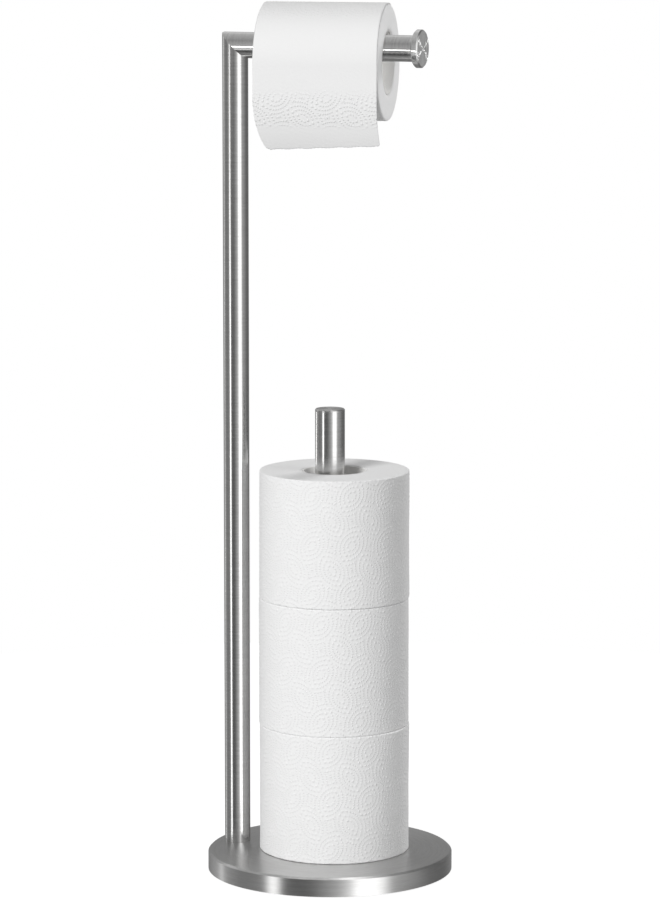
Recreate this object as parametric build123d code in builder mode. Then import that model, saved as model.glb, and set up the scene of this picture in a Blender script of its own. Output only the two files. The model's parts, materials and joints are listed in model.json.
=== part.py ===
from build123d import *
from math import cos, radians, sin, sqrt, tan
import os

# Freestanding toilet paper holder in millimetres, +Z up.
# The origin is the centre of the base on the floor. The spare post stands on it,
# and the arm runs along +X from the top of the upright.

# Overall sizes
base_height = 15.5              # floor to the base's flat top
arm_axis_height = 640.0         # floor to the arm's axis
arm_reach = 152.0               # upright's axis to the knob's face
post_height = 347.0             # base top to the post's top
spare_roll_room = 9.05          # spare roll, centred on its post, to the upright
upright_to_rim = 7.7            # upright to the base's outline

# Tubes
tube_diameter = 20.0
tube_wall = 1.2
post_diameter = 23.0
post_wall = 1.2
mitre_rounding = 2.6            # radius ground on the tip of the mitred corner
mitre_grind_depth = 0.25        # how far outside the tubes the ground radius is struck
cap_thickness = 2.0
cap_edge_break = 0.7
cap_spigot_length = 6.0
spigot_clearance = 0.05         # radial, for all that is pressed into a tube

# Knob on the arm's end
knob_diameter = 29.0
knob_flange_thickness = 5.5
knob_collar_length = 3.0
knob_spigot_length = 14.0
knob_chamfer = 1.0

# Base
cover_wall = 1.2
cover_chamfer = 1.4
rim_lift = 0.8                  # floor to the cover's rim, which never touches down
pad_thickness = 2.5
pad_inset = 4.0                 # weight's edge to the pad's edge
pad_hole_margin = 1.0           # pad hole's edge beyond the counterbore
weight_play = 1.0               # weight to the cover's wall, which also clears its bevelled corner

# Fasteners, the same set in both feet
bolt_diameter = 6.0
bolt_length = 20.0
bolt_head_width = 10.0          # hexagon, across its flats
bolt_head_height = 4.0
bolt_hole_clearance = 0.3       # radial, in the weight, the cover and the washer
thread_clearance = 0.05         # radial, bolt in its plug
washer_diameter = 12.0
washer_thickness = 1.6
counterbore_diameter = 15.0
head_recess = 0.6               # bolt head to the weight's underside
plug_length = 16.0

# Rolls
core_inner_diameter = 47.0
core_wall = 1.2
core_setback = 0.5              # core's end inside the paper's end
core_glue_gap = 0.05            # radial, paper to core
paper_edge_chamfer = 1.8
hanging_roll_diameter = 89.0
hanging_roll_width = 96.0
hanging_roll_distance = 74.8    # upright's axis to the middle of the roll
hanging_clearance = 0.3         # core's inside to the arm, where the roll rests
hanging_skew = 8.0              # degrees, roll's axis turned from the arm's axis
spare_roll_diameter = 116.5
spare_roll_height = 99.5
# How far each spare roll sits off the post's axis, as shares of the room in its core
spare_roll_shift_shares = {
    "bottom": (0.12, 0.50),
    "middle": (0.06, 0.56),
    "top": (0.10, 0.53),
}

# Loose sheet of the hanging roll
sheet_thickness = 0.5
sheet_gap = 0.3                 # sheet to the roll's wound face
sheet_start_angle = 102.0       # degrees from the front, where the sheet leaves the wound face
sheet_drop = 65.2               # roll's axis to the lowest corner of the sheet
sheet_straight_drop = 24.0      # length that hangs straight before the curl
sheet_curl_angle = 27.0         # degrees that the hanging end curls back
sheet_side_taper = 8.5          # how far the lower left corner draws in
sheet_slant = 2.5               # right-hand end of the torn edge above the left-hand end
sheet_corner_rounding = 4.0

# Overrun of every cut past the face that it leaves
overrun = 5.0

# Places worked out from the sizes above
tube_radius = tube_diameter / 2
tube_bore_radius = tube_radius - tube_wall
post_radius = post_diameter / 2
post_bore_radius = post_radius - post_wall
upright_x = -(spare_roll_diameter / 2 + spare_roll_room + tube_radius)
base_radius = tube_radius + upright_to_rim - upright_x
corner = Vector(upright_x, 0, arm_axis_height)
knob_face_x = upright_x + arm_reach
arm_end_x = knob_face_x - knob_flange_thickness - knob_collar_length
cover_underside = base_height - cover_wall
weight_radius = base_radius - cover_wall - weight_play
weight_thickness = cover_underside - pad_thickness
bolt_hole_radius = bolt_diameter / 2 + bolt_hole_clearance
counterbore_depth = washer_thickness + bolt_head_height + head_recess
washer_seat = pad_thickness + counterbore_depth
head_seat = washer_seat - washer_thickness
foot_places = {"upright": upright_x, "spare_post": 0}

os.makedirs("parts", exist_ok=True)


def write(part, name):
    """Label a finished piece and write its file."""
    part.label = name
    export_step(part, f"parts/{name}.step")


# Base cover: a pressed stainless dish, open below, with a chamfered rim
with BuildPart() as base_cover:
    with BuildSketch(Plane.XY.offset(rim_lift)):
        Circle(base_radius)
    extrude(amount=base_height - rim_lift)
    chamfer(base_cover.faces().sort_by(Axis.Z)[-1].edges(), length=cover_chamfer)
    offset(amount=-cover_wall, openings=base_cover.faces().sort_by(Axis.Z)[0])
    with BuildSketch(Plane.XY.offset(base_height)):
        with Locations(*[(x, 0) for x in foot_places.values()]):
            Circle(bolt_hole_radius)
    extrude(amount=-(cover_wall + overrun), mode=Mode.SUBTRACT)
write(base_cover.part, "base_cover")

# Base weight: a cast disc inside the cover, counterbored from below for the two bolts
with BuildPart() as base_weight:
    with BuildSketch(Plane.XY.offset(pad_thickness)):
        Circle(weight_radius)
    extrude(amount=weight_thickness)
    underside = Plane(origin=(0, 0, pad_thickness), x_dir=(1, 0, 0), z_dir=(0, 0, -1))
    with Locations(underside):
        with Locations(*[(x, 0) for x in foot_places.values()]):
            CounterBoreHole(
                radius=bolt_hole_radius,
                counter_bore_radius=counterbore_diameter / 2,
                counter_bore_depth=counterbore_depth,
            )
write(base_weight.part, "base_weight")

# Base pad: a foam disc that carries the holder, with a hole at each bolt
with BuildPart() as base_pad:
    with BuildSketch(Plane.XY):
        Circle(weight_radius - pad_inset)
        with Locations(*[(x, 0) for x in foot_places.values()]):
            Circle(counterbore_diameter / 2 + pad_hole_margin, mode=Mode.SUBTRACT)
    extrude(amount=pad_thickness)
write(base_pad.part, "base_pad")


def hexagon_bolt():
    """A bolt that points up, with the underside of its head on the XY plane."""
    with BuildPart() as bolt:
        with BuildSketch(Plane.XY):
            RegularPolygon(bolt_head_width / 2, side_count=6, major_radius=False)
        extrude(amount=-bolt_head_height)
        with BuildSketch(Plane.XY):
            Circle(bolt_diameter / 2)
        extrude(amount=bolt_length)
    return bolt.part


def flat_washer():
    """A plain washer that hangs down from the XY plane."""
    with BuildPart() as washer:
        with BuildSketch(Plane.XY):
            Circle(washer_diameter / 2)
            Circle(bolt_hole_radius, mode=Mode.SUBTRACT)
        extrude(amount=-washer_thickness)
    return washer.part


def threaded_plug(bore_radius):
    """A plug that stands on the XY plane and fills a tube's foot."""
    with BuildPart() as plug:
        with BuildSketch(Plane.XY):
            Circle(bore_radius - spigot_clearance)
            Circle(bolt_diameter / 2 + thread_clearance, mode=Mode.SUBTRACT)
        extrude(amount=plug_length)
    return plug.part


# Feet: in each, a bolt comes up through weight and cover into a plug in the tube's end
for foot, bore_radius in (("upright", tube_bore_radius), ("spare_post", post_bore_radius)):
    foot_x = foot_places[foot]
    write(Pos(foot_x, 0, head_seat) * hexagon_bolt(), f"{foot}_bolt")
    write(Pos(foot_x, 0, washer_seat) * flat_washer(), f"{foot}_washer")
    write(Pos(foot_x, 0, base_height) * threaded_plug(bore_radius), f"{foot}_plug")


# Mitre: the two tubes meet in the plane that halves their corner
mitre_plane = Plane(origin=corner, z_dir=(1, 0, 1))


def mitre_tip_cut():
    """The stock outside the radius that is ground on the corner's outer tip."""
    strike = tube_radius + mitre_grind_depth
    tip = (corner.X - strike, corner.Z + strike)
    with BuildPart() as cut:
        with BuildSketch(Plane.XZ):
            with Locations(tip):
                Rectangle(2 * mitre_rounding, 2 * mitre_rounding)
            with Locations((tip[0] + mitre_rounding, tip[1] - mitre_rounding)):
                Circle(mitre_rounding, mode=Mode.SUBTRACT)
        extrude(amount=tube_radius + overrun, both=True)
    return cut.part


# Upright: a stainless tube, square at the foot and mitred at the top
with BuildPart() as upright_tube:
    with BuildSketch(Plane.XY.offset(base_height)):
        with Locations((upright_x, 0)):
            Circle(tube_radius)
            Circle(tube_bore_radius, mode=Mode.SUBTRACT)
    extrude(amount=arm_axis_height + tube_radius + overrun - base_height)
    split(bisect_by=mitre_plane, keep=Keep.BOTTOM)
    add(mitre_tip_cut(), mode=Mode.SUBTRACT)
write(upright_tube.part, "upright_tube")

# Arm: the same tube, mitred to the upright and square where the knob goes in
with BuildPart() as arm_tube:
    arm_end = Plane(origin=(arm_end_x, 0, arm_axis_height), x_dir=(0, 1, 0), z_dir=(1, 0, 0))
    with BuildSketch(arm_end):
        Circle(tube_radius)
        Circle(tube_bore_radius, mode=Mode.SUBTRACT)
    extrude(amount=-(arm_end_x - upright_x + tube_radius + overrun))
    split(bisect_by=mitre_plane, keep=Keep.TOP)
    add(mitre_tip_cut(), mode=Mode.SUBTRACT)
write(arm_tube.part, "arm_tube")

# Knob: turned in one piece, with a spigot in the tube, a collar and a round flange
with BuildPart() as arm_end_knob:
    with BuildSketch(arm_end):
        Circle(tube_bore_radius - spigot_clearance)
    extrude(amount=-knob_spigot_length)
    with BuildSketch(arm_end):
        Circle(tube_radius)
    extrude(amount=knob_collar_length)
    with BuildSketch(arm_end.offset(knob_collar_length)):
        Circle(knob_diameter / 2)
    extrude(amount=knob_flange_thickness)
    flange_rims = arm_end_knob.edges().filter_by(GeomType.CIRCLE).group_by(SortBy.RADIUS)[-1]
    chamfer(flange_rims, length=knob_chamfer)
write(arm_end_knob.part, "arm_end_knob")

# Spare post: a stainless tube that stands on the cover
with BuildPart() as spare_post_tube:
    with BuildSketch(Plane.XY.offset(base_height)):
        Circle(post_radius)
        Circle(post_bore_radius, mode=Mode.SUBTRACT)
    extrude(amount=post_height - cap_thickness)
write(spare_post_tube.part, "spare_post_tube")

# Post cap: a disc on the tube's end, held by its spigot, its edge lightly broken
with BuildPart() as spare_post_cap:
    cap_seat = Plane.XY.offset(base_height + post_height - cap_thickness)
    with BuildSketch(cap_seat):
        Circle(post_radius)
    extrude(amount=cap_thickness)
    chamfer(spare_post_cap.faces().sort_by(Axis.Z)[-1].edges(), length=cap_edge_break)
    with BuildSketch(cap_seat):
        Circle(post_bore_radius - spigot_clearance)
    extrude(amount=-cap_spigot_length)
write(spare_post_cap.part, "spare_post_cap")


def wound_roll(end_plane, diameter, width):
    """A roll that stands on end_plane: the wound paper and its card core."""
    core_outer_radius = core_inner_diameter / 2 + core_wall
    with BuildPart() as paper:
        with BuildSketch(end_plane):
            Circle(diameter / 2)
            Circle(core_outer_radius + core_glue_gap, mode=Mode.SUBTRACT)
        extrude(amount=width)
        outer_rims = paper.edges().filter_by(GeomType.CIRCLE).group_by(SortBy.RADIUS)[-1]
        chamfer(outer_rims, length=paper_edge_chamfer)
    with BuildPart() as core:
        with BuildSketch(end_plane.offset(core_setback)):
            Circle(core_outer_radius)
            Circle(core_inner_diameter / 2, mode=Mode.SUBTRACT)
        extrude(amount=width - 2 * core_setback)
    return paper.part, core.part


# Spare rolls: stacked on the base, loose on the post, each a little off its axis
post_room = core_inner_diameter / 2 - post_radius
for level, (roll, shift_shares) in enumerate(spare_roll_shift_shares.items()):
    shift_x, shift_y = (share * post_room for share in shift_shares)
    roll_seat = Plane(origin=(shift_x, shift_y, base_height + level * spare_roll_height))
    paper, core = wound_roll(roll_seat, spare_roll_diameter, spare_roll_height)
    write(paper, f"spare_roll_{roll}_paper")
    write(core, f"spare_roll_{roll}_core")

# Hanging roll: its core rests on top of the arm, and it hangs a little askew.
# At both ends of the core the arm has moved sideways by end_shift, which sets the drop.
skew = radians(hanging_skew)
end_shift = hanging_roll_width / 2 * tan(skew)
arm_room = core_inner_diameter / 2 - tube_radius - hanging_clearance
hanging_drop = sqrt(arm_room**2 - end_shift**2)
roll_axis = Vector(cos(skew), sin(skew), 0)
roll_back = Vector(-sin(skew), cos(skew), 0)
roll_centre = Vector(upright_x + hanging_roll_distance, 0, arm_axis_height - hanging_drop)
roll_left_end = Plane(
    origin=roll_centre - roll_axis * (hanging_roll_width / 2),
    x_dir=roll_back,
    z_dir=roll_axis,
)
paper, core = wound_roll(roll_left_end, hanging_roll_diameter, hanging_roll_width)
write(paper, "hanging_roll_paper")
write(core, "hanging_roll_core")

# Loose sheet: it leaves the wound face near the top, comes down in front of the roll,
# hangs straight for a while and curls back towards its torn edge.
with BuildPart() as hanging_roll_sheet:
    with BuildSketch(roll_left_end):
        with BuildLine():
            sheet_radius = hanging_roll_diameter / 2 + sheet_gap + sheet_thickness / 2
            over_roll = CenterArc(
                center=(0, 0),
                radius=sheet_radius,
                start_angle=180 - sheet_start_angle,
                arc_size=sheet_start_angle,
            )
            straight = Line(over_roll @ 1, over_roll @ 1 - Vector(0, sheet_straight_drop))
            curl_length = sheet_drop - sheet_straight_drop + overrun
            CenterArc(
                center=straight @ 1 + Vector(curl_length / radians(sheet_curl_angle), 0),
                radius=curl_length / radians(sheet_curl_angle),
                start_angle=180,
                arc_size=sheet_curl_angle,
            )
        trace(line_width=sheet_thickness)
    extrude(amount=hanging_roll_width)
    # Seen from the front, the sheet keeps to an outline with a slanted torn edge
    sheet_front = Plane(origin=roll_left_end.origin, x_dir=roll_axis, z_dir=-roll_back)
    with BuildSketch(sheet_front) as outline:
        with BuildLine():
            Polyline(
                (0, hanging_roll_diameter),
                (0, -sheet_straight_drop),
                (sheet_side_taper, -sheet_drop),
                (hanging_roll_width, -sheet_drop + sheet_slant),
                (hanging_roll_width, hanging_roll_diameter),
                close=True,
            )
        make_face()
        fillet(outline.vertices().sort_by(Axis.Y)[0:2], radius=sheet_corner_rounding)
    extrude(amount=hanging_roll_diameter, both=True, mode=Mode.INTERSECT)
write(hanging_roll_sheet.part, "hanging_roll_sheet")
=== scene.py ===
import json
from math import ceil, cos, pi, radians, sin

import bmesh
import bpy
from mathutils import Matrix, Vector

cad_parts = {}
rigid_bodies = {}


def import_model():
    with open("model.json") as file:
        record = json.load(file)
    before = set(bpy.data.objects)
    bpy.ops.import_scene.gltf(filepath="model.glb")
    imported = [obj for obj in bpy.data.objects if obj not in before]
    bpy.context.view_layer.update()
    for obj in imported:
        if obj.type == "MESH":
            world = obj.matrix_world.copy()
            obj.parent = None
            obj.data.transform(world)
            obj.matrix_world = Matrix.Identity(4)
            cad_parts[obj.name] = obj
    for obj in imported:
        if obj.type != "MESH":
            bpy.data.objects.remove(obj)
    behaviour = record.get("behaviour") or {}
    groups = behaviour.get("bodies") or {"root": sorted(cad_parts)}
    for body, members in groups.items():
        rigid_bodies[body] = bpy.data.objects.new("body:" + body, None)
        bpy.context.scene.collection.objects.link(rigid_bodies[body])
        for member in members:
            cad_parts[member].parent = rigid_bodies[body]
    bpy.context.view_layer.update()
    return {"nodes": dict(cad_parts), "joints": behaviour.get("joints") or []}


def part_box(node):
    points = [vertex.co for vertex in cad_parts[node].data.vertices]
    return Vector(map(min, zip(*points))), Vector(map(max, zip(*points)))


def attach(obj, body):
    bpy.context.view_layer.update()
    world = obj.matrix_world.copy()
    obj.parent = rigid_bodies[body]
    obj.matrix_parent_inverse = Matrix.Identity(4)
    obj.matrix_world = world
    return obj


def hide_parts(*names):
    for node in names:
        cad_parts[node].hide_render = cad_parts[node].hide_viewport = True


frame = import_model()
nodes = frame["nodes"]


# Base weight: a disc of cast iron that keeps the holder upright, hidden in the cover.
# It is sand cast, faced off below and dipped in thin black paint, so its skin is
# slightly pebbled and the paint is rubbed through here and there.


def put(tree, kind, wires=None, **settings):
    """One more node in a tree. Its inputs go by name or number, each a value or a socket."""
    made = tree.nodes.new(kind)
    for setting, value in settings.items():
        setattr(made, setting, value)
    for key, value in (wires or {}).items():
        if isinstance(value, bpy.types.NodeSocket):
            tree.links.new(value, made.inputs[key])
        else:
            made.inputs[key].default_value = value
    return made


def number(tree, operation, *values):
    """The result of a sum on numbers or sockets."""
    return put(tree, "ShaderNodeMath", dict(enumerate(values)), operation=operation).outputs[0]


def arrow(tree, operation, *values):
    """The result of a sum on vectors."""
    made = put(tree, "ShaderNodeVectorMath", dict(enumerate(values)), operation=operation)
    return made.outputs["Value" if operation in ("DOT_PRODUCT", "LENGTH") else "Vector"]


def stretched(tree, vector, length):
    """A vector times a number."""
    return put(tree, "ShaderNodeVectorMath", {0: vector, 3: length}, operation="SCALE").outputs[0]


def surface(name, **values):
    """A material with its shader's plain values set, and the tree and shader to add to."""
    material = bpy.data.materials.new(name)
    material.use_nodes = True
    tree = material.node_tree
    shader = tree.nodes["Principled BSDF"]
    for key, value in values.items():
        shader.inputs[key.replace("_", " ")].default_value = value
    return material, tree, shader


def tint(tree, shader, amount, low, high):
    """Colours the surface between two tones by a pattern from 0 to 1."""
    mixed = put(tree, "ShaderNodeMix", {0: amount, 6: (*low, 1), 7: (*high, 1)}, data_type="RGBA")
    tree.links.new(mixed.outputs[2], shader.inputs["Base Color"])


def between(tree, value, low, high):
    """A pattern from 0 to 1 spread between two numbers."""
    return put(tree, "ShaderNodeMapRange", {0: value, 3: low, 4: high}).outputs[0]


def rise_from(tree, value, start, end, **settings):
    """0 up to where a value is at the start, 1 from where it is at the end."""
    return put(tree, "ShaderNodeMapRange", {0: value, 1: start, 2: end}, **settings).outputs[0]


def grain(tree, vector, scale, detail=2.0, roughness=0.5):
    """Cloudy noise from 0 to 1."""
    wires = {"Vector": vector, "Scale": scale, "Detail": detail, "Roughness": roughness}
    return put(tree, "ShaderNodeTexNoise", wires).outputs[0]


def relief(tree, shader, height, depth, normal=None):
    """Bumps of that depth in metres."""
    wires = {"Strength": 1.0, "Distance": depth, "Height": height}
    if normal:
        wires["Normal"] = normal
    bumped = put(tree, "ShaderNodeBump", wires)
    tree.links.new(bumped.outputs[0], shader.inputs["Normal"])


def place(tree):
    """Where a point of the piece lies, in metres."""
    return put(tree, "ShaderNodeTexCoord").outputs["Object"]


def dress(node, material):
    """Gives a node of the frame its finish."""
    mesh = nodes[node].data
    mesh.materials.clear()
    mesh.materials.append(material)


SAND_SCALE, RUB_SCALE = 900, 140
RUBBED_FROM = 0.66              # where the cloudy noise is above this, the paint is rubbed through
PAINT, BARE_IRON = (0.012, 0.012, 0.013), (0.09, 0.085, 0.08)
painted_iron, tree, shader = surface("Painted cast iron", Metallic=0.0)
skin = grain(tree, place(tree), SAND_SCALE, 4)
rubbed = number(tree, "GREATER_THAN", grain(tree, place(tree), RUB_SCALE, 3), RUBBED_FROM)
tint(tree, shader, rubbed, PAINT, BARE_IRON)
tree.links.new(between(tree, skin, 0.45, 0.65), shader.inputs["Roughness"])
relief(tree, shader, skin, depth=0.0002)
dress("base_weight", painted_iron)


# Base pad: a disc of closed-cell foam that the holder stands on, glued under the weight.
# It is die cut, with a hole at each bolt, and its edges are a little crushed.


SAME_POINT = 1e-6
FLAT_BELOW, SHARP_FROM = radians(1), radians(40)


def softened(node, name, edge):
    """A piece on a node's own outline, with its sharp edges rounded."""
    shape = bmesh.new()
    shape.from_mesh(nodes[node].data)
    bmesh.ops.remove_doubles(shape, verts=shape.verts, dist=SAME_POINT)
    bmesh.ops.dissolve_limit(shape, angle_limit=FLAT_BELOW, verts=shape.verts, edges=shape.edges)
    mesh = bpy.data.meshes.new(name)
    shape.to_mesh(mesh)
    shape.free()
    made = bpy.data.objects.new(name, mesh)
    bpy.context.scene.collection.objects.link(made)
    mesh.shade_smooth()
    rounding = made.modifiers.new("Rounded edges", "BEVEL")
    rounding.width = edge
    rounding.segments = 2
    rounding.limit_method = "ANGLE"
    rounding.angle_limit = SHARP_FROM
    rounding.harden_normals = True
    return made


CELL_SCALE = 1400.0
foam, tree, shader = surface("Closed-cell foam")
cells = put(tree, "ShaderNodeTexVoronoi", {"Vector": place(tree), "Scale": CELL_SCALE}).outputs["Distance"]
tint(tree, shader, cells, (0.012, 0.012, 0.012), (0.04, 0.04, 0.041))
tree.links.new(between(tree, cells, 0.75, 0.95), shader.inputs["Roughness"])
relief(tree, shader, cells, depth=0.0003)
pad = softened("base_pad", "foam_pad", edge=0.0004)
pad.data.materials.append(foam)
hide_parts("base_pad")
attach(pad, "root")


# Base cover: a dish pressed from stainless sheet, with a bevelled rim, that drops over the
# weight. It is brushed on a turntable, so its fine scratches are rings round the middle
# and its reflections are drawn out across them.


UP, ALONG_ARM = (0, 0, 1), (1, 0, 0)
WALL_FROM = 0.985               # a face that looks this straight away from the axis is a round wall
FINE_SCRATCHES = 6              # how much closer the fine scratches lie than the coarse ones
FINE_BREAKS = 4.5               # and how much shorter they are
SCRATCH_DEPTH = 0.000003
TONE_FROM, TONE_TO = 0.36, 0.64  # where in the noise the tone starts and stops changing
TONE_CHANGE, ROUGHNESS_CHANGE = 0.08, 0.03


def brushed_steel(name, axis, centre, bright=0.62, roughness=0.3, pull=0.8, coarse=900.0, turns=0.6):
    """Steel brushed in rings round an axis, with scratches too fine to model.

    Pull draws reflections out across the rings, coarse is the scratches' number in a metre, and
    few turns make them long.
    """
    material, tree, shader = surface(name, Metallic=1.0, Anisotropic=pull)
    offset = arrow(tree, "SUBTRACT", place(tree), centre)
    along = arrow(tree, "DOT_PRODUCT", offset, axis)
    spoke = arrow(tree, "SUBTRACT", offset, stretched(tree, axis, along))
    radius = arrow(tree, "LENGTH", spoke)
    outward = arrow(tree, "NORMALIZE", spoke)
    ring_way = arrow(tree, "CROSS_PRODUCT", axis, outward)
    # On the round walls the true curve stands in for the frame's narrow facets
    geometry = put(tree, "ShaderNodeNewGeometry")
    facing = arrow(tree, "DOT_PRODUCT", geometry.outputs["True Normal"], outward)
    on_wall = number(tree, "GREATER_THAN", facing, WALL_FROM)
    wires = {0: on_wall, 4: geometry.outputs["Normal"], 5: outward}
    curve = put(tree, "ShaderNodeMix", wires, data_type="VECTOR").outputs[1]
    # The rings: noise that is long round the axis and short across
    across = number(tree, "ADD", along, radius)
    scratches = []
    for size, change in ((coarse, turns), (coarse * FINE_SCRATCHES, turns * FINE_BREAKS)):
        rings = stretched(tree, axis, number(tree, "MULTIPLY", across, size))
        spread = arrow(tree, "ADD", stretched(tree, outward, change), rings)
        scratches.append(grain(tree, spread, 1.0, 3))
    both = number(tree, "MULTIPLY", number(tree, "ADD", *scratches), 0.5)
    tone = rise_from(tree, both, TONE_FROM, TONE_TO)
    dull, clear = bright * (1 - TONE_CHANGE), bright * (1 + TONE_CHANGE)
    # Stainless is a little warm, more so where it is dull
    tint(tree, shader, tone, (dull, dull * 0.995, dull * 0.985), (clear, clear, clear * 0.995))
    satin = between(tree, both, roughness - ROUGHNESS_CHANGE, roughness + ROUGHNESS_CHANGE)
    tree.links.new(satin, shader.inputs["Roughness"])
    tree.links.new(arrow(tree, "CROSS_PRODUCT", curve, ring_way), shader.inputs["Tangent"])
    relief(tree, shader, both, SCRATCH_DEPTH, curve)
    return material


base_middle = (0, 0, 0)
cover_steel = brushed_steel("Turntable-brushed stainless", UP, base_middle, roughness=0.29,
                            coarse=450.0, turns=3.0)
dress("base_cover", cover_steel)


# Feet: in each a bolt comes up through washer, weight and cover into a plug that is
# welded in the tube's end. The plugs are plain turned steel, bolts and washers are
# zinc plated, which leaves a faint blue and yellow bloom.
low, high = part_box("upright_tube")
upright_middle = ((low.x + high.x) / 2, (low.y + high.y) / 2, 0)
for foot, middle in (("upright", upright_middle), ("spare_post", base_middle)):
    turned = brushed_steel(f"Turned plug steel {foot}", UP, middle, bright=0.48, roughness=0.4)
    dress(f"{foot}_plug", turned)

BLOOM_SCALE, SPANGLE_SCALE = 260, 2500
BLUE_ZINC, YELLOW_ZINC = (0.58, 0.62, 0.70), (0.76, 0.74, 0.64)
zinc, tree, shader = surface("Bright zinc plate", Metallic=1.0)
bloom = grain(tree, place(tree), BLOOM_SCALE, 3)
tint(tree, shader, bloom, BLUE_ZINC, YELLOW_ZINC)
tree.links.new(between(tree, bloom, 0.22, 0.38), shader.inputs["Roughness"])
relief(tree, shader, grain(tree, place(tree), SPANGLE_SCALE, 3), depth=0.00003)
for foot in ("upright", "spare_post"):
    dress(f"{foot}_bolt", zinc)
    dress(f"{foot}_washer", zinc)


# Upright and arm: one size of stainless tube, belt brushed round about before it is cut.
# The two are mitred, welded on the inside and dressed flush, so the corner shows as a
# sharp change in the reflections and no bead.
low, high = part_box("arm_tube")
arm_height = (low.z + high.z) / 2
arm_middle = (0, 0, arm_height)
dress("upright_tube", brushed_steel("Belt-brushed upright", UP, upright_middle, roughness=0.19, pull=0.85))
dress("arm_tube", brushed_steel("Belt-brushed arm", ALONG_ARM, arm_middle, roughness=0.2, pull=0.5))


# Arm end knob: turned from bar in one piece and pressed into the arm. Its face still shows
# the lathe's rings, which throw crossed rays of light, and its rims are lightly chamfered.
knob_steel = brushed_steel("Lathe-turned knob", ALONG_ARM, arm_middle, bright=0.7, roughness=0.25,
                           pull=0.98, coarse=250.0)
dress("arm_end_knob", knob_steel)


# Spare post: a thicker stainless tube bolted to the base's middle, with a flat cap pressed
# in and dressed flush, to guide the spare rolls.
dress("spare_post_tube", brushed_steel("Belt-brushed post", UP, base_middle, roughness=0.18, pull=0.85))
dress("spare_post_cap", brushed_steel("Brushed post cap", UP, base_middle))


# Cores: tubes wound on the slant from pale recycled card and cut to length. The seam of
# the card runs round them in a spiral, and their cut ends are slightly frayed.


STRIP_RISE = 0.07               # how far the strip of card climbs in one turn
SEAM_WIDTH, SEAM_SOFTENING = 0.02, 0.01     # as shares of a turn
FLECK_SCALE = 1100
FLECK_HEIGHT = 0.3              # as a share of the step at the seam
DARK_CARD, PALE_CARD = (0.76, 0.755, 0.74), (0.90, 0.895, 0.88)
CARD_EDGE = 0.0003


def wound_card(name, centre, axis, side):
    """Recycled card with flecks and a spiral seam round an axis; side is square to the axis."""
    material, tree, shader = surface(name)
    offset = arrow(tree, "SUBTRACT", place(tree), centre)
    along = arrow(tree, "DOT_PRODUCT", offset, axis)
    x = arrow(tree, "DOT_PRODUCT", offset, side)
    y = arrow(tree, "DOT_PRODUCT", offset, tuple(Vector(axis).cross(Vector(side))))
    turn = number(tree, "DIVIDE", number(tree, "ARCTAN2", y, x), 2 * pi)
    wind = number(tree, "FRACT", number(tree, "ADD", turn, number(tree, "DIVIDE", along, STRIP_RISE)))
    seam = number(tree, "SMOOTH_MIN", wind, number(tree, "SUBTRACT", 1.0, wind), SEAM_SOFTENING)
    step = rise_from(tree, seam, 0.0, SEAM_WIDTH)
    flecks = grain(tree, place(tree), FLECK_SCALE, 4, 0.6)
    height = number(tree, "ADD", step, number(tree, "MULTIPLY", flecks, FLECK_HEIGHT))
    tint(tree, shader, flecks, DARK_CARD, PALE_CARD)
    tree.links.new(between(tree, flecks, 0.8, 0.95), shader.inputs["Roughness"])
    relief(tree, shader, height, depth=0.0002)
    return material


spin = next(joint for joint in frame["joints"] if joint["name"] == "hanging_roll_spin")
hanging_middle = Vector(spin["pos_m"])
hanging_axis = Vector(spin["axis"]).normalized()
spare_rolls = ("bottom", "middle", "top")


def middle_of(node):
    """The middle of a node's box."""
    low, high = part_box(node)
    return (low + high) / 2


hanging_core = softened("hanging_roll_core", "hanging_card_core", CARD_EDGE)
hanging_core.data.materials.append(wound_card("Hanging core card", hanging_middle, hanging_axis, UP))
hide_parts("hanging_roll_core")
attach(hanging_core, "hanging_roll")
for level in spare_rolls:
    node = f"spare_roll_{level}_core"
    core = softened(node, f"spare_card_core_{level}", CARD_EDGE)
    core.data.materials.append(wound_card(f"Spare core card {level}", middle_of(node), UP, ALONG_ARM))
    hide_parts(node)
    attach(core, f"spare_roll_{level}")


# Wound paper: soft two-ply tissue, embossed between rollers with rows of dots that follow
# leaf shapes, wound tightly on the core and sawn to width. The saw leaves matt ends that
# show the turns, and soft rims.


def fields_group(name, inputs, outputs, tree_kind="GeometryNodeTree"):
    """An empty tree with named inputs and outputs, for geometry unless told otherwise."""
    group = bpy.data.node_groups.new(name, tree_kind)
    for way, sockets in (("INPUT", inputs), ("OUTPUT", outputs)):
        for label, kind in sockets:
            group.interface.new_socket(label, in_out=way, socket_type=kind)
    return group, group.nodes.new("NodeGroupInput").outputs, group.nodes.new("NodeGroupOutput")


FLOAT, WHOLE = "NodeSocketFloat", "NodeSocketInt"
SHAPE, STUFF = "NodeSocketGeometry", "NodeSocketMaterial"
LEAF_SIZES = {
    "Leaf width": 0.030,
    "Leaf length": 0.038,
    "Row spacing": 0.0028,
    "Dot spacing": 0.0019,
    "Dot radius": 0.00068,
    "Tilt": radians(29),
}
# Half the outermost leaf of a lattice's cell, as shares of the cell's width and length
HALF_WIDTH, HALF_LENGTH = 0.46, 0.56
SIDE_LENGTH = 1.06              # length of half a leaf's side, as a share of half its length
LEAF_END = 1.08                 # no dots lie further out than this share of the outermost leaf


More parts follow.
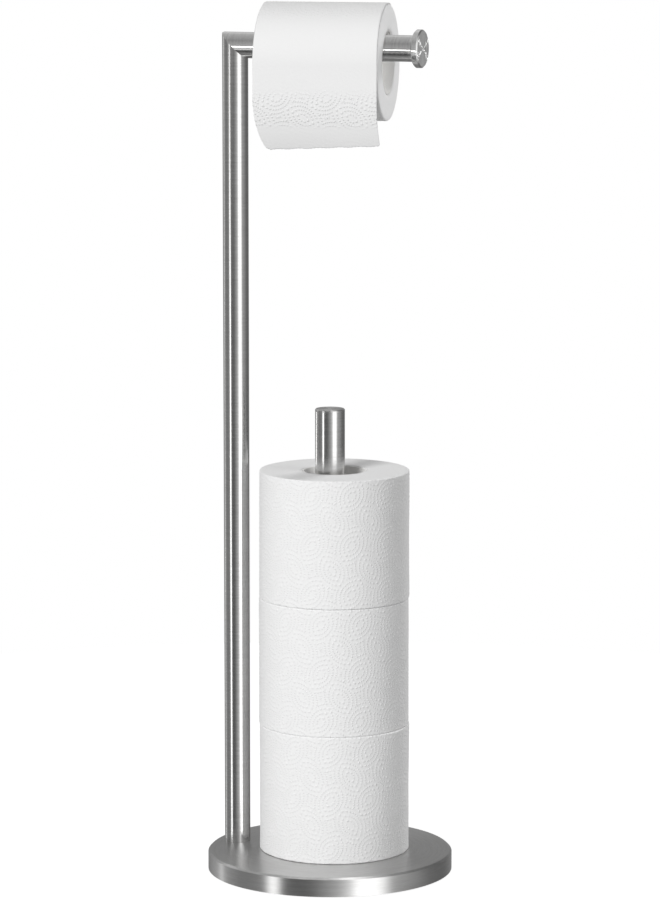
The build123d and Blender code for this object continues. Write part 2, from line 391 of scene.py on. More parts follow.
def leaf(tree, given, shift, turn):
    """Height of the dots in the leaves of one lattice, and how far out in its leaf a point lies."""
    def times(a, b):
        return number(tree, "MULTIPLY", a, b)

    def plus(a, b):
        return number(tree, "ADD", a, b)

    spots = []
    for distance, size in (("Around", "Leaf width"), ("Along", "Leaf length")):
        moved = plus(given[distance], times(given[size], shift))
        half = times(given[size], 0.5)
        spots.append(number(tree, "WRAP", moved, half, times(half, -1.0)))
    tilt = times(given["Tilt"], turn)
    c, s = number(tree, "COSINE", tilt), number(tree, "SINE", tilt)
    x = number(tree, "ABSOLUTE", number(tree, "SUBTRACT", times(spots[0], c), times(spots[1], s)))
    y = plus(times(spots[0], s), times(spots[1], c))
    # A leaf is where two circles overlap: a is its half width, b its half length
    a, b = times(given["Leaf width"], HALF_WIDTH), times(given["Leaf length"], HALF_LENGTH)
    bb = times(b, b)
    offset = number(tree, "DIVIDE", number(tree, "SUBTRACT", bb, times(a, a)), times(a, 2.0))
    cx = times(offset, x)
    root = number(tree, "SQRT", plus(times(cx, cx), times(bb, plus(times(x, x), times(y, y)))))
    share = number(tree, "DIVIDE", plus(cx, root), bb)
    depth = times(share, a)
    row = number(tree, "ROUND", number(tree, "DIVIDE", depth, given["Row spacing"]))
    off_row = number(tree, "SUBTRACT", depth, times(row, given["Row spacing"]))
    # Dots are evenly spaced along each side of a leaf outline
    reach = times(number(tree, "DIVIDE", times(row, given["Row spacing"]), a), b)
    count = number(tree, "ROUND", number(tree, "DIVIDE", times(reach, SIDE_LENGTH), given["Dot spacing"]))
    step = times(number(tree, "DIVIDE", y, number(tree, "MAXIMUM", times(share, b), 1e-6)), count)
    off_dot = times(number(tree, "SUBTRACT", step, number(tree, "ROUND", step)), given["Dot spacing"])
    size = times(given["Dot radius"], given["Dot radius"])
    near = number(tree, "DIVIDE", plus(times(off_row, off_row), times(off_dot, off_dot)), size)
    dome = number(tree, "MAXIMUM", number(tree, "SUBTRACT", 1.0, near), 0.0)
    return times(dome, number(tree, "GREATER_THAN", row, 0.5)), share


def leaf_dots(kind):
    """A group that gives the dots' height, 0 to 1, for geometry or for a material."""
    labels = [(label, FLOAT) for label in ("Around", "Along", *LEAF_SIZES)]
    group, given, result = fields_group("Leaf dots", labels, [("Height", FLOAT)], kind)
    # Two lattices, half a cell apart, whose leaves lean opposite ways
    first, first_share = leaf(group, given, 0.0, 1.0)
    second, second_share = leaf(group, given, 0.5, -1.0)
    nearer = number(group, "LESS_THAN", first_share, second_share)
    chosen = put(group, "ShaderNodeMix", {0: nearer, 2: second, 3: first}).outputs[0]
    inside = number(group, "LESS_THAN", number(group, "MINIMUM", first_share, second_share), LEAF_END)
    group.links.new(number(group, "MULTIPLY", chosen, inside), result.inputs["Height"])
    return group


emboss = leaf_dots("GeometryNodeTree")
emboss_shading = leaf_dots("ShaderNodeTree")
SIZE_INPUTS = [(label, FLOAT) for label in (*LEAF_SIZES, "Dot rise", "Waviness", "Seed")]

winding, given, result = fields_group(
    "Wound roll",
    [("Section", SHAPE), ("Points round", WHOLE), ("Outer radius", FLOAT), *SIZE_INPUTS, ("Paper", STUFF)],
    [("Roll", SHAPE)],
)


def embossed(tree, given, around, along):
    """The embossing's height in metres from the tree's own inputs."""
    dots = put(tree, "GeometryNodeGroup", node_tree=emboss)
    for label in LEAF_SIZES:
        tree.links.new(given[label], dots.inputs[label])
    tree.links.new(around, dots.inputs["Around"])
    tree.links.new(along, dots.inputs["Along"])
    return number(tree, "MULTIPLY", dots.outputs["Height"], given["Dot rise"])


# The section's points are laid out once for each step round the axis
counted = put(winding, "GeometryNodeAttributeDomainSize", {"Geometry": given["Section"]})
in_section = counted.outputs["Point Count"]
steps_round = number(winding, "ADD", given["Points round"], 1.0)
grid = put(winding, "GeometryNodeMeshGrid", {"Vertices X": steps_round, "Vertices Y": in_section})
index = put(winding, "GeometryNodeInputIndex").outputs[0]
step = number(winding, "FLOOR", number(winding, "DIVIDE", index, in_section))
spot = number(winding, "SUBTRACT", index, number(winding, "MULTIPLY", step, in_section))
sample = put(winding, "GeometryNodeSampleIndex",
             {"Geometry": given["Section"], "Index": spot}, data_type="FLOAT_VECTOR")
winding.links.new(put(winding, "GeometryNodeInputPosition").outputs[0], sample.inputs["Value"])
section = put(winding, "ShaderNodeSeparateXYZ", {0: sample.outputs["Value"]}).outputs
angle = number(winding, "MULTIPLY", number(winding, "DIVIDE", step, given["Points round"]), 2 * pi)
spoke = put(winding, "ShaderNodeCombineXYZ",
            {0: number(winding, "COSINE", angle), 1: number(winding, "SINE", angle)}).outputs[0]
# A whole number of leaves goes round, so the pattern has no seam
girth = number(winding, "MULTIPLY", given["Outer radius"], 2 * pi)
leaves = number(winding, "ROUND", number(winding, "DIVIDE", girth, given["Leaf width"]))
printed = number(winding, "MULTIPLY", leaves, given["Leaf width"])
around = number(winding, "MULTIPLY", number(winding, "DIVIDE", angle, 2 * pi), printed)
dot_height = embossed(winding, given, around, section[2])
# Slow waves, few round the roll and along it, that mostly dent it
WAVES_ROUND, WAVES_ALONG, WAVE_LEVEL = 1.3, 14.0, 0.62
along = put(winding, "ShaderNodeCombineXYZ", {2: number(winding, "MULTIPLY", section[2], WAVES_ALONG)})
waving = arrow(winding, "ADD", stretched(winding, spoke, WAVES_ROUND), along.outputs[0])
wires = {"Vector": waving, "W": given["Seed"], "Scale": 1.0, "Detail": 2.0}
cloud = put(winding, "ShaderNodeTexNoise", wires, noise_dimensions="4D").outputs[0]
wave = number(winding, "MULTIPLY", number(winding, "SUBTRACT", cloud, WAVE_LEVEL), given["Waviness"])
# Waves and dots fade out over the rims and leave the bore and the ends alone
FADED_BELOW, FULL_BELOW = 0.0025, 0.0004
inner = number(winding, "SUBTRACT", given["Outer radius"], FADED_BELOW)
outer = number(winding, "SUBTRACT", given["Outer radius"], FULL_BELOW)
on_outside = rise_from(winding, section[0], inner, outer)
lift = number(winding, "MULTIPLY", number(winding, "ADD", dot_height, wave), on_outside)
out = stretched(winding, spoke, number(winding, "ADD", section[0], lift))
up = put(winding, "ShaderNodeCombineXYZ", {2: section[2]}).outputs[0]
laid = put(winding, "GeometryNodeSetPosition",
           {"Geometry": grid.outputs["Mesh"], "Position": arrow(winding, "ADD", out, up)})
# Kept at the faces' corners, so that it still starts and ends on one line once the mesh is closed
marked = put(winding, "GeometryNodeStoreNamedAttribute",
             {"Geometry": laid.outputs[0], "Name": "winding"}, data_type="FLOAT_VECTOR", domain="CORNER")
depth = number(winding, "DIVIDE", section[0], given["Outer radius"])
where = put(winding, "ShaderNodeCombineXYZ", {0: around, 1: section[2], 2: depth}).outputs[0]
at_point = put(winding, "GeometryNodeFieldOnDomain", {0: where}, data_type="FLOAT_VECTOR", domain="POINT")
winding.links.new(at_point.outputs[0], next(s for s in marked.inputs if s.name == "Value" and s.enabled))
closed = put(winding, "GeometryNodeMergeByDistance", {"Geometry": marked.outputs[0], "Distance": 0.00001})
smooth = put(winding, "GeometryNodeSetShadeSmooth", {"Geometry": closed.outputs[0]})
whole = put(winding, "GeometryNodeRealizeInstances", {"Geometry": smooth.outputs[0]})
finished = put(winding, "GeometryNodeSetMaterial", {"Geometry": whole.outputs[0], "Material": given["Paper"]})
winding.links.new(finished.outputs[0], result.inputs["Roll"])


FIBRE_SCALE, FIBRE_DEPTH = 1500, 0.00012
CREPE, CREASES = (350, 2600, 350), (12, 0, 90)
# How much each of them makes of the relief
FIBRE_SHARE, CREPE_SHARE, CREASE_SHARE = 0.5, 0.35, 0.5
FIBRE_TONE = 0.05
PRINTED_FROM = 0.9              # share of the radius from which on the dots come up


def embossed_tissue(name, white, dot_depth):
    """Tissue whose fine marks follow the paper: its "winding" attribute says where a point lies on it."""
    material, tree, shader = surface(name)
    attribute = put(tree, "ShaderNodeAttribute", attribute_name="winding").outputs["Vector"]
    spots = put(tree, "ShaderNodeSeparateXYZ", {0: attribute}).outputs

    def drawn_out(scale):
        stretch = put(tree, "ShaderNodeMapping", {"Vector": attribute, "Scale": scale})
        return grain(tree, stretch.outputs[0], 1, 3)

    fibres = grain(tree, attribute, FIBRE_SCALE, 4, 0.65)
    crepe = drawn_out(CREPE)
    fine = number(tree, "MULTIPLY", fibres, FIBRE_SHARE)
    soft = number(tree, "ADD", fine, number(tree, "MULTIPLY", crepe, CREPE_SHARE))
    height = number(tree, "ADD", soft, number(tree, "MULTIPLY", drawn_out(CREASES), CREASE_SHARE))
    tint(tree, shader, fibres, [white - FIBRE_TONE] * 3, [white] * 3)
    tree.links.new(between(tree, crepe, 0.85, 1.0), shader.inputs["Roughness"])
    sharp = put(tree, "ShaderNodeGroup", {"Around": spots[0], "Along": spots[1]}, node_tree=emboss_shading)
    for label, value in LEAF_SIZES.items():
        sharp.inputs[label].default_value = value
    # The third number is the distance from the axis: the dots are only on the outermost turn
    on_side = rise_from(tree, spots[2], PRINTED_FROM, 1.0)
    printed = number(tree, "MULTIPLY", sharp.outputs[0], on_side)
    dots = number(tree, "MULTIPLY", printed, dot_depth / FIBRE_DEPTH)
    relief(tree, shader, number(tree, "ADD", height, dots), FIBRE_DEPTH)
    return material


tissue = embossed_tissue("Embossed tissue", white=0.88, dot_depth=0.00023)
ROLL_RIM, BORE_RIM = 0.0011, 0.001
COARSE_GAP = 0.0035             # between the section's points on the bore and the ends
FINE_GAP = 0.00067              # and on the outside, where the dots are


def roll_section(radius, bore, width):
    """The points of a wound roll's section, from the bore round by the outside."""
    half = width / 2
    # For each rounded corner: its middle, its radius, where its arc starts and in how many steps
    corners = [
        ((bore + BORE_RIM, -half + BORE_RIM), BORE_RIM, 180, 2),
        ((radius - ROLL_RIM, -half + ROLL_RIM), ROLL_RIM, 270, 5),
        ((radius - ROLL_RIM, half - ROLL_RIM), ROLL_RIM, 0, 5),
        ((bore + BORE_RIM, half - BORE_RIM), BORE_RIM, 90, 2),
    ]
    points = []
    for count, ((x, z), r, start, steps) in enumerate(corners):
        turns = [radians(start + 90 * i / steps) for i in range(steps + 1)]
        arc = [(x + r * cos(turn), z + r * sin(turn)) for turn in turns]
        if points:
            last = points[-1]
            run = (arc[0][0] - last[0], arc[0][1] - last[1])
            pieces = ceil(Vector(run).length / (FINE_GAP if count == 2 else COARSE_GAP))
            for i in range(1, pieces):
                points.append((last[0] + run[0] * i / pieces, last[1] + run[1] * i / pieces))
        points += arc
    return points + points[:1]


def fill_in(modifier, tree, values):
    """Sets a modifier's inputs by their labels."""
    for item in tree.interface.items_tree:
        if item.item_type == "SOCKET" and item.in_out == "INPUT" and item.name in values:
            modifier[item.identifier] = values[item.name]


def as_mesh(name, mesh, tree, values, place_matrix):
    """A plain mesh piece from a tree of geometry nodes, put in its place."""
    source = bpy.data.objects.new(name + "_source", mesh)
    bpy.context.scene.collection.objects.link(source)
    modifier = source.modifiers.new("Build", "NODES")
    modifier.node_group = tree
    fill_in(modifier, tree, values)
    settled = source.evaluated_get(bpy.context.evaluated_depsgraph_get())
    made_mesh = bpy.data.meshes.new_from_object(settled)
    bpy.data.objects.remove(source)
    made_mesh.transform(place_matrix)
    shape = bmesh.new()
    shape.from_mesh(made_mesh)
    if shape.calc_volume(signed=True) < 0:
        bmesh.ops.reverse_faces(shape, faces=shape.faces)
        shape.to_mesh(made_mesh)
    shape.free()
    made_mesh.name = name
    made = bpy.data.objects.new(name, made_mesh)
    bpy.context.scene.collection.objects.link(made)
    return made


def wound_roll(name, radius, width, seed, place_matrix):
    """One roll of wound, embossed paper."""
    points = roll_section(radius, paper_bore, width)
    mesh = bpy.data.meshes.new(name + "_section")
    mesh.from_pydata([(x, 0, z) for x, z in points], [(i, i + 1) for i in range(len(points) - 1)], [])
    values = dict(LEAF_SIZES)
    values.update({
        "Points round": round(2 * pi * radius / FINE_GAP),
        "Outer radius": radius,
        "Dot rise": 0.00015,
        "Waviness": 0.0014,
        "Seed": seed,
        "Paper": tissue,
    })
    return as_mesh(name, mesh, winding, values, place_matrix)


GLUE_GAP = 0.00005              # between the core and the paper
low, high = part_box("spare_roll_top_core")
paper_bore = (high.x - low.x) / 2 + GLUE_GAP
low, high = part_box("spare_roll_top_paper")
spare_radius, spare_width = (high.x - low.x) / 2, high.z - low.z
# Each roll is set down turned another way, and has waves of its own
FIRST_TURN, NEXT_TURN = 47, 83
FIRST_WAVES, NEXT_WAVES, HANGING_WAVES = 0.7, 3.1, 9.4
for count, level in enumerate(spare_rolls):
    node = f"spare_roll_{level}_paper"
    turned = Matrix.Rotation(radians(FIRST_TURN + NEXT_TURN * count), 4, "Z")
    standing = Matrix.Translation(middle_of(node)) @ turned
    waves = NEXT_WAVES * count + FIRST_WAVES
    roll = wound_roll(f"spare_roll_{level}_tissue", spare_radius, spare_width, waves, standing)
    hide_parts(node)
    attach(roll, f"spare_roll_{level}")

low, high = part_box("hanging_roll_paper")
hanging_radius = (high.z - low.z) / 2
hanging_back = Vector((-hanging_axis.y, hanging_axis.x, 0))
# The roll's width, from its box: both its ends are discs that lean with the axis
hanging_width = (high.x - low.x - 2 * hanging_radius * hanging_axis.y) / hanging_axis.x
askew = Matrix((hanging_back, UP, hanging_axis)).transposed().to_4x4()
lying = Matrix.Translation(hanging_middle) @ askew
hanging_paper = wound_roll("hanging_roll_tissue", hanging_radius, hanging_width, HANGING_WAVES, lying)
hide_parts("hanging_roll_paper")
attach(hanging_paper, "hanging_roll")


# Loose sheet: the last of the hanging roll's tissue. It lies over the top of the roll, comes
# down its front and hangs to a torn edge that curls back. The tear follows the perforation
# and leaves small teeth, slightly lower on the left.
SHEET_START = radians(102)      # from the front, over the top
SHEET_RADIUS = hanging_radius + 0.00074     # clear of the roll's dots and waves as it turns
SHEET_DROP = 0.0652             # what hangs below the roll's axis
SHEET_STRAIGHT = 0.024          # of it, what hangs before the curl
SHEET_CURL_RADIUS = 0.098
DROOP_UNTIL = radians(50)       # from the front: down to here, its sides droop in full
START_DIP, START_DIP_LENGTH = 0.0001, 0.012     # its start lies this much closer to the roll
SHEET_THICKNESS = 0.00022
sheet_arc = SHEET_START * SHEET_RADIUS


def climb(value, start, length):
    """0 up to the start, then even up to 1 over a length."""
    return min(1.0, max(0.0, (value - start) / length))


def sheet_point(length, edge):
    """Distance behind the roll's axis and above it, at a length along the sheet and off its side."""
    # Over the roll, the sheet's sides droop with the roll's soft rims
    rim = max(0.0, ROLL_RIM - edge)
    droop = ROLL_RIM - (ROLL_RIM ** 2 - rim ** 2) ** 0.5
    if length < sheet_arc:
        turn = SHEET_START - length / SHEET_RADIUS
        dip = START_DIP * max(0.0, 1 - length / START_DIP_LENGTH)
        # The droop fades out towards the front
        close = SHEET_RADIUS - dip - droop * min(1.0, turn / DROOP_UNTIL)
        return -close * cos(turn), close * sin(turn)
    hang = length - sheet_arc
    if hang < SHEET_STRAIGHT:
        return -SHEET_RADIUS, -hang
    turn = (hang - SHEET_STRAIGHT) / SHEET_CURL_RADIUS
    return SHEET_CURL_RADIUS * (1 - cos(turn)) - SHEET_RADIUS, -SHEET_STRAIGHT - SHEET_CURL_RADIUS * sin(turn)


def drawn_in(hang):
    """How far the sheet's left side is drawn in, at a length below the roll's axis."""
    most, start, run, bend = 0.0085, 0.022, 0.043, 2.4
    return most * max(0.0, (hang - start) / run) ** bend


def flared(hang):
    """How far the sheet's right side stands out, at a length below the roll's axis."""
    most, start, run, bend = 0.0016, 0.035, 0.03, 1.5
    return most * climb(hang, start, run) ** bend


def fluttering(hang, side):
    """How far the hanging end is blown back, in one slow wave across its width."""
    most, start = 0.0007, 0.01
    wave_at_left, wave_across = 0.6, 5      # in radians
    return most * sin(side * wave_across + wave_at_left) * max(0.0, (hang - start) / SHEET_DROP)


def springing(length):
    """How far the embossing stands up: pressed flat on the roll's front, full below, slack at the end."""
    pressed, more_on_top, more_below, less_at_end = 0.12, 0.45, 0.88, 0.85
    top_end, top_fade = 0.047, 0.014
    below_start, below_run, end_start, end_run = 0.018, 0.007, 0.044, 0.004
    hang = length - sheet_arc
    over_top = climb(top_end - length, 0.0, top_fade)
    below, at_end = climb(hang, below_start, below_run), climb(hang, end_start, end_run)
    return pressed + more_on_top * over_top + more_below * below - less_at_end * at_end


def torn_length(side):
    """The sheet's length at a share of its width, with rounded corners and perforation teeth."""
    left_corner, right_corner = 0.004, 0.0012
    left_excess, slant = 0.0006, 0.0045
    tooth, tooth_spacing, ripple, ripple_spacing = 0.00012, 0.0031, 0.00025, 0.0171
    across = side * hanging_width
    corner = min(across, hanging_width - across)
    rounding = left_corner if side < 0.5 else right_corner
    cut = 0.0 if corner > rounding else rounding - (rounding ** 2 - (rounding - corner) ** 2) ** 0.5
    teeth = tooth * sin(across * 2 * pi / tooth_spacing) + ripple * sin(across * 2 * pi / ripple_spacing + 1)
    return sheet_arc + SHEET_DROP + left_excess - slant * side - cut + teeth


COLUMNS, LINES = 150, 260
mesh = bpy.data.meshes.new("loose_sheet_flat")
corners, faces, flats = [], [], []
for j in range(LINES + 1):
    for i in range(COLUMNS + 1):
        side = i / COLUMNS
        length = torn_length(side) * j / LINES
        hang = length - sheet_arc
        left = drawn_in(hang)
        x = left + (hanging_width + flared(hang) - left) * side
        back, up = sheet_point(length, min(side, 1 - side) * hanging_width)
        corners.append((back + fluttering(hang, side), up, x - hanging_width / 2))
        # The third number says how strongly the tissue's dots come up
        printed = PRINTED_FROM + (1 - PRINTED_FROM) * springing(length)
        flats.append((length, side * hanging_width, printed))
for j in range(LINES):
    for i in range(COLUMNS):
        a = j * (COLUMNS + 1) + i
        faces.append((a, a + COLUMNS + 1, a + COLUMNS + 2, a + 1))
mesh.from_pydata(corners, [], faces)
mesh.shade_smooth()
laid_out = mesh.attributes.new("winding", "FLOAT_VECTOR", "POINT")
laid_out.data.foreach_set("vector", [value for flat in flats for value in flat])

hanging, given, result = fields_group(
    "Loose sheet", [("Sheet", SHAPE), *SIZE_INPUTS, ("Paper", STUFF)], [("Sheet", SHAPE)])
flat_place = put(hanging, "GeometryNodeInputNamedAttribute", {"Name": "winding"}, data_type="FLOAT_VECTOR")
parts = put(hanging, "ShaderNodeSeparateXYZ", {0: flat_place.outputs[0]}).outputs
past = number(hanging, "SUBTRACT", parts[2], PRINTED_FROM)
standing_up = number(hanging, "MULTIPLY", past, 1 / (1 - PRINTED_FROM))
rise = number(hanging, "MULTIPLY", embossed(hanging, given, parts[0], parts[1]), standing_up)
normal = put(hanging, "GeometryNodeInputNormal").outputs[0]
moved = put(hanging, "GeometryNodeSetPosition",
            {"Geometry": given["Sheet"], "Offset": stretched(hanging, normal, rise)})
whole = put(hanging, "GeometryNodeRealizeInstances", {"Geometry": moved.outputs[0]})
finished = put(hanging, "GeometryNodeSetMaterial", {"Geometry": whole.outputs[0], "Material": given["Paper"]})
hanging.links.new(finished.outputs[0], result.inputs["Sheet"])
values = dict(LEAF_SIZES)
# One layer lets some of the light through, so it looks a little greyer than the roll
values.update({
    "Dot rise": 0.00022,
    "Paper": embossed_tissue("Single sheet of tissue", white=0.835, dot_depth=0.0003),
})
sheet = as_mesh("hanging_roll_loose_sheet", mesh, hanging, values, lying)
thickness = sheet.modifiers.new("Two plies", "SOLIDIFY")
thickness.thickness = SHEET_THICKNESS
thickness.offset = 0.0
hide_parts("hanging_roll_sheet")
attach(sheet, "root")


# Studio: a pale floor, a white surround, three soft lamps, nine small ones for single pieces
# and, for the steel alone, a glowing sphere of grey and white stripes that only reflections
# see: painted reflections, which give the tubes their stripes.
FLOOR_RADIUS, FLOOR_DEPTH = 0.9, 0.0002
AMBIENT = 0.25


def stage_object(name, mesh, material):
    """A thing of the studio, which is no part of the holder."""
    mesh.materials.append(material)
    made = bpy.data.objects.new(name, mesh)
    bpy.context.scene.collection.objects.link(made)
    return made


def seen_directly(tree):
    """1 for what the camera sees, straight or in a reflection, otherwise 0."""
    path = put(tree, "ShaderNodeLightPath").outputs
    either = number(tree, "MAXIMUM", path["Is Camera Ray"], path["Is Glossy Ray"])
    return number(tree, "MAXIMUM", either, path["Is Transmission Ray"])


pale_floor = bpy.data.materials.new("Pale floor")
pale_floor.use_nodes = True
tree = pale_floor.node_tree
tree.nodes.remove(tree.nodes["Principled BSDF"])
shaded = put(tree, "ShaderNodeBsdfDiffuse", {"Color": (0.22, 0.22, 0.22, 1)})
glow = put(tree, "ShaderNodeEmission", {"Color": (1, 1, 1, 1), "Strength": 0.9})
shown = put(tree, "ShaderNodeAddShader", {0: shaded.outputs[0], 1: glow.outputs[0]})
plain = put(tree, "ShaderNodeBsdfDiffuse", {"Color": (0.5, 0.5, 0.5, 1)})
either = put(tree, "ShaderNodeMixShader", {0: seen_directly(tree), 1: plain.outputs[0], 2: shown.outputs[0]})
tree.links.new(either.outputs[0], tree.nodes["Material Output"].inputs["Surface"])
disc = bmesh.new()
bmesh.ops.create_circle(disc, cap_ends=True, segments=96, radius=FLOOR_RADIUS)
floor_mesh = bpy.data.meshes.new("studio_floor")
disc.to_mesh(floor_mesh)
disc.free()
floor_mesh.transform(Matrix.Translation((0, 0, -FLOOR_DEPTH)))
# The steel mirrors the painted reflection stripes below the floor too, so the floor is kept out of
# reflections
stage_object("studio_floor", floor_mesh, pale_floor).visible_glossy = False

surround = bpy.data.worlds.new("White surround")
bpy.context.scene.world = surround
surround.use_nodes = True
tree = surround.node_tree
ambient = tree.nodes["Background"]
ambient.inputs["Color"].default_value = (1, 1, 1, 1)
ambient.inputs["Strength"].default_value = AMBIENT
white = put(tree, "ShaderNodeBackground", {"Color": (1, 1, 1, 1), "Strength": 1.0})
wires = {0: seen_directly(tree), 1: ambient.outputs[0], 2: white.outputs[0]}
either = put(tree, "ShaderNodeMixShader", wires)
tree.links.new(either.outputs[0], tree.nodes["World Output"].inputs["Surface"])


def lamp(name, azimuth, elevation, distance, size, power, target=(0, 0, 0.34), only=()):
    """A soft lamp that faces a target from a direction, 0 towards -Y and 90 towards +X."""
    light = bpy.data.lights.new(name, "AREA")
    light.shape = "RECTANGLE"
    light.size, light.size_y = size
    light.energy = power
    made = bpy.data.objects.new(name, light)
    a, e = radians(azimuth), radians(elevation)
    away = Vector((sin(a) * cos(e), -cos(a) * cos(e), sin(e)))
    made.location = Vector(target) + away * distance
    made.rotation_mode = "QUATERNION"
    made.rotation_quaternion = away.to_track_quat("Z", "Y")
    made.visible_camera = False
    bpy.context.scene.collection.objects.link(made)
    if only:
        # Flags keep its light to the pieces that it is meant for
        made.light_linking.receiver_collection = bpy.data.collections.new(name + "_lights")
        for piece in only:
            made.light_linking.receiver_collection.objects.link(piece)
    return made


# Three lamps light the paper and don't mirror in the steel
for name, azimuth, elevation, power in (("key", -14, 24, 300), ("side", 84, 15, 58), ("rim", 162, 26, 163)):
    lamp(name + "_lamp", azimuth, elevation, 6.0, (2.2, 2.2), power).visible_glossy = False

# Small lamps for single pieces: light in the hanging roll's core, as its pale card throws
# about in daylight, light on the roll's end, a sheen along the base's rim, strips that draw
# the bright lines along the arm, the post and the part of the upright that faces the spare
# rolls, two whose rays cross on the knob's face, and one that brightens the knob
BELOW_TOP = 0.022               # how far below the post's top its lamp is aimed
BESIDE_UPRIGHT = (0.0091, -0.0157, 0.1885)  # from the foot's middle, clear of the tube
BELOW_AXIS = (0, -0.004, -0.006)            # from the middle of the roll's core
knob_face = (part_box("arm_end_knob")[1].x, 0, arm_height)
arm_front = (-0.005, 0, arm_height)
post_top = (0, 0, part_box("spare_post_tube")[1].z - BELOW_TOP)
upright_side = Vector(upright_middle) + Vector(BESIDE_UPRIGHT)
below_axis = hanging_middle + Vector(BELOW_AXIS)
cover, upright, arm, knob, post = (
    nodes[node] for node in ("base_cover", "upright_tube", "arm_tube", "arm_end_knob", "spare_post_tube"))
for name, azimuth, elevation, distance, size, power, target, only in (
    ("core_lamp", 8, 40, 0.003, (0.080, 0.006), 0.0105, below_axis, [hanging_core]),
    ("roll_end_lamp", 98, 12, 1.2, (0.5, 0.5), 2.5, hanging_middle, [hanging_paper]),
    ("rim_line_lamp", 0, 90, 1.2, (1.0, 1.0), 1.5, base_middle, [cover]),
    ("arm_line_lamp", -20, -12.2, 1.1, (0.70, 0.08), 1.3, arm_front, [arm, knob]),
    ("post_line_lamp", -99, -9, 0.045, (0.006, 0.05), 0.0020, post_top, [post]),
    ("upright_line_lamp", 90, 0, 0.01, (0.0068, 0.337), 0.0129, upright_side, [upright]),
    ("upper_ray_lamp", 137.5, 5.0, 0.6, (0.04, 0.04), 0.13, knob_face, [knob]),
    ("lower_ray_lamp", 137.5, -9.5, 0.6, (0.04, 0.04), 0.11, knob_face, [knob]),
    ("knob_lamp", 161, -3, 0.6, (0.3, 0.3), 0.066, knob_face, [knob]),
):
    made = lamp(name, azimuth, elevation, distance, size, power, target, only)
    made.visible_glossy = only[0] not in (hanging_core, hanging_paper)
    made.visible_diffuse = not made.visible_glossy
# The arm and the upright mirror the painted reflection stripes alone: the roll beside them is kept out of
# that
for piece in bpy.data.objects:
    if piece.name.startswith("hanging_"):
        piece.visible_glossy = False

# The painted reflection's brightness by compass direction, 0 towards -Y and 90 towards +X
REFLECTION_STRIPES = [
    (-180, 0.32), (-152, 0.32), (-138, 0.30), (-124, 0.36), (-107, 0.46), (-104, 1.15), (-101, 1.15),
    (-98, 0.40), (-86, 0.33), (-72, 0.24), (-58, 0.26), (-42, 0.34), (-37, 2.4), (-30.5, 2.4),
    (-26, 0.22), (-16, 0.14), (-7, 0.13), (3, 0.18), (14, 0.34), (28, 0.52), (40, 1.0), (44, 1.8),
    (67, 1.8), (73, 1.2), (80, 0.50), (95, 0.42), (112, 0.30), (126, 0.20), (150, 0.16),
    (172, 0.22), (180, 0.32),
]
# The painted reflection that the arm mirrors, by the angle round it: 0 towards -Y, 90 straight up
REFLECTION_ROWS = [
    (-180, 0.26), (-121, 0.22), (-80, 0.3), (-67, 0.30), (-55, 0.12), (-32, 0.09), (-24, 0.25), (-15, 0.5),
    (-8, 0.9), (8, 0.9), (16, 0.53), (24, 0.5), (40, 0.46), (55, 0.36), (66, 0.44), (90, 0.55), (113, 0.67),
    (122, 0.89), (138, 0.66), (147, 0.44), (158, 0.28), (180, 0.26),
]
REFLECTION_TOP = 2.4                  # the brightest painted stripe
TENT_RADIUS = 2.3


def reflection_levels(tree, angle, levels):
    """Brightness that changes with an angle in radians, from a list of degrees and levels."""
    share = number(tree, "ADD", number(tree, "DIVIDE", angle, 2 * pi), 0.5)
    ramp = put(tree, "ShaderNodeValToRGB", {0: share})
    stops = ramp.color_ramp.elements
    while len(stops) > 1:
        stops.remove(stops[-1])
    stops[0].position = 0.0
    for count, (degrees, level) in enumerate(levels):
        stop = stops[0] if count == 0 else stops.new(degrees / 360 + 0.5)
        stop.color = (*[level / REFLECTION_TOP] * 3, 1)
    return number(tree, "MULTIPLY", ramp.outputs[0], REFLECTION_TOP)


def window(tree, value, low, high, soft):
    """1 between two numbers, fading to 0 outside them."""
    up = rise_from(tree, value, low - soft, low, interpolation_type="SMOOTHSTEP")
    down = rise_from(tree, value, high + soft, high, interpolation_type="SMOOTHSTEP")
    return number(tree, "MULTIPLY", up, down)
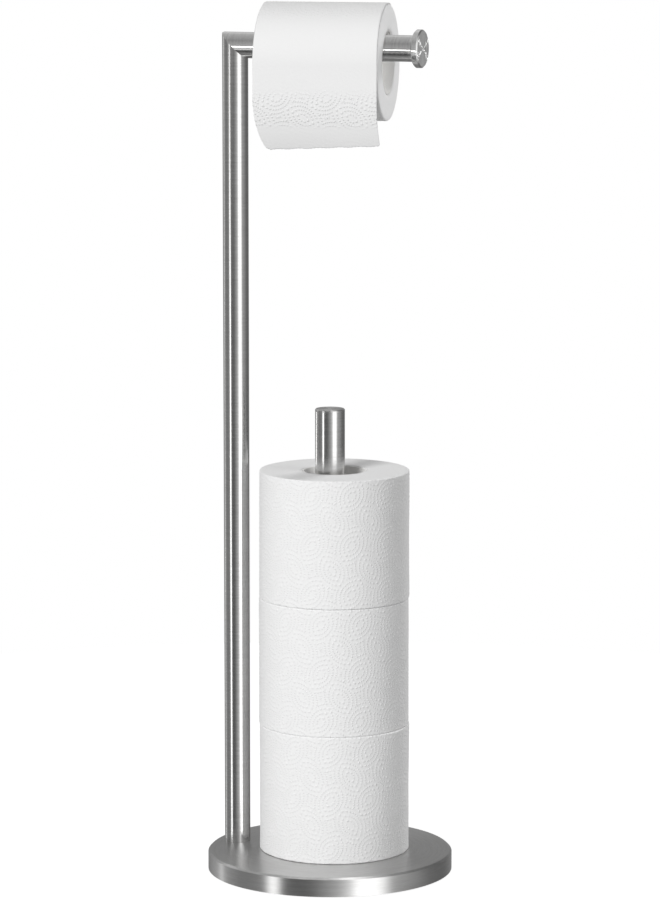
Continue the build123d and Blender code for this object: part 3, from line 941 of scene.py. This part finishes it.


# Painted reflection: these stripes glow with no lamp behind them, and only reflections see them, so they
# paint the bright and dark stripes in the steel
painted_reflection = bpy.data.materials.new("Painted reflection stripes")
painted_reflection.use_nodes = True
tree = painted_reflection.node_tree
tree.nodes.remove(tree.nodes["Principled BSDF"])
toward = arrow(tree, "NORMALIZE", place(tree))
spots = put(tree, "ShaderNodeSeparateXYZ", {0: toward}).outputs
front = number(tree, "MULTIPLY", spots[1], -1.0)
compass = number(tree, "ARCTAN2", spots[0], front)
round_arm = number(tree, "ARCTAN2", spots[2], front)
stripes = reflection_levels(tree, compass, REFLECTION_STRIPES)
rows = reflection_levels(tree, round_arm, REFLECTION_ROWS)
# The rows show where the arm mirrors and the upright doesn't
level_band = window(tree, round_arm, low=radians(-24), high=radians(11), soft=radians(7))
off_level = number(tree, "SUBTRACT", 1.0, level_band)
beside_upright = window(tree, spots[0], low=-0.62, high=-0.06, soft=0.2)
arm_zone = number(tree, "MULTIPLY", beside_upright, off_level)
mixed = put(tree, "ShaderNodeMix", {0: arm_zone, 2: stripes, 3: rows}).outputs[0]
glow = put(tree, "ShaderNodeEmission", {"Color": (1, 1, 1, 1), "Strength": mixed})
tree.links.new(glow.outputs[0], tree.nodes["Material Output"].inputs["Surface"])
painted_reflection.cycles.emission_sampling = "NONE"
tent = bmesh.new()
bmesh.ops.create_uvsphere(tent, u_segments=96, v_segments=48, radius=TENT_RADIUS)
tent_mesh = bpy.data.meshes.new("studio_painted_reflection")
tent.to_mesh(tent_mesh)
tent.free()
tent_object = stage_object("studio_painted_reflection", tent_mesh, painted_reflection)
for sight in ("camera", "diffuse", "shadow", "transmission", "volume_scatter"):
    setattr(tent_object, f"visible_{sight}", False)


# Camera: a long lens a little above the holder, 20 degrees round towards the knob.
# Its place and lens were solved from the outlines in the photo.
AIMED_AT, CAMERA_DISTANCE = Vector((0, 0, 0.3302)), 3.3246
azimuth, pitch = radians(20), radians(8.713)
away = Vector((sin(azimuth) * cos(pitch), -cos(azimuth) * cos(pitch), sin(pitch)))
lens = bpy.data.cameras.new("camera")
lens.sensor_width = 36
lens.lens = 172.6
lens.clip_start, lens.clip_end = 0.1, 20
camera = bpy.data.objects.new("camera", lens)
camera.location = AIMED_AT + away * CAMERA_DISTANCE
camera.rotation_mode = "QUATERNION"
camera.rotation_quaternion = away.to_track_quat("Z", "Y")
bpy.context.scene.collection.objects.link(camera)
bpy.context.scene.camera = camera
bpy.context.scene.view_settings.view_transform = "Standard"
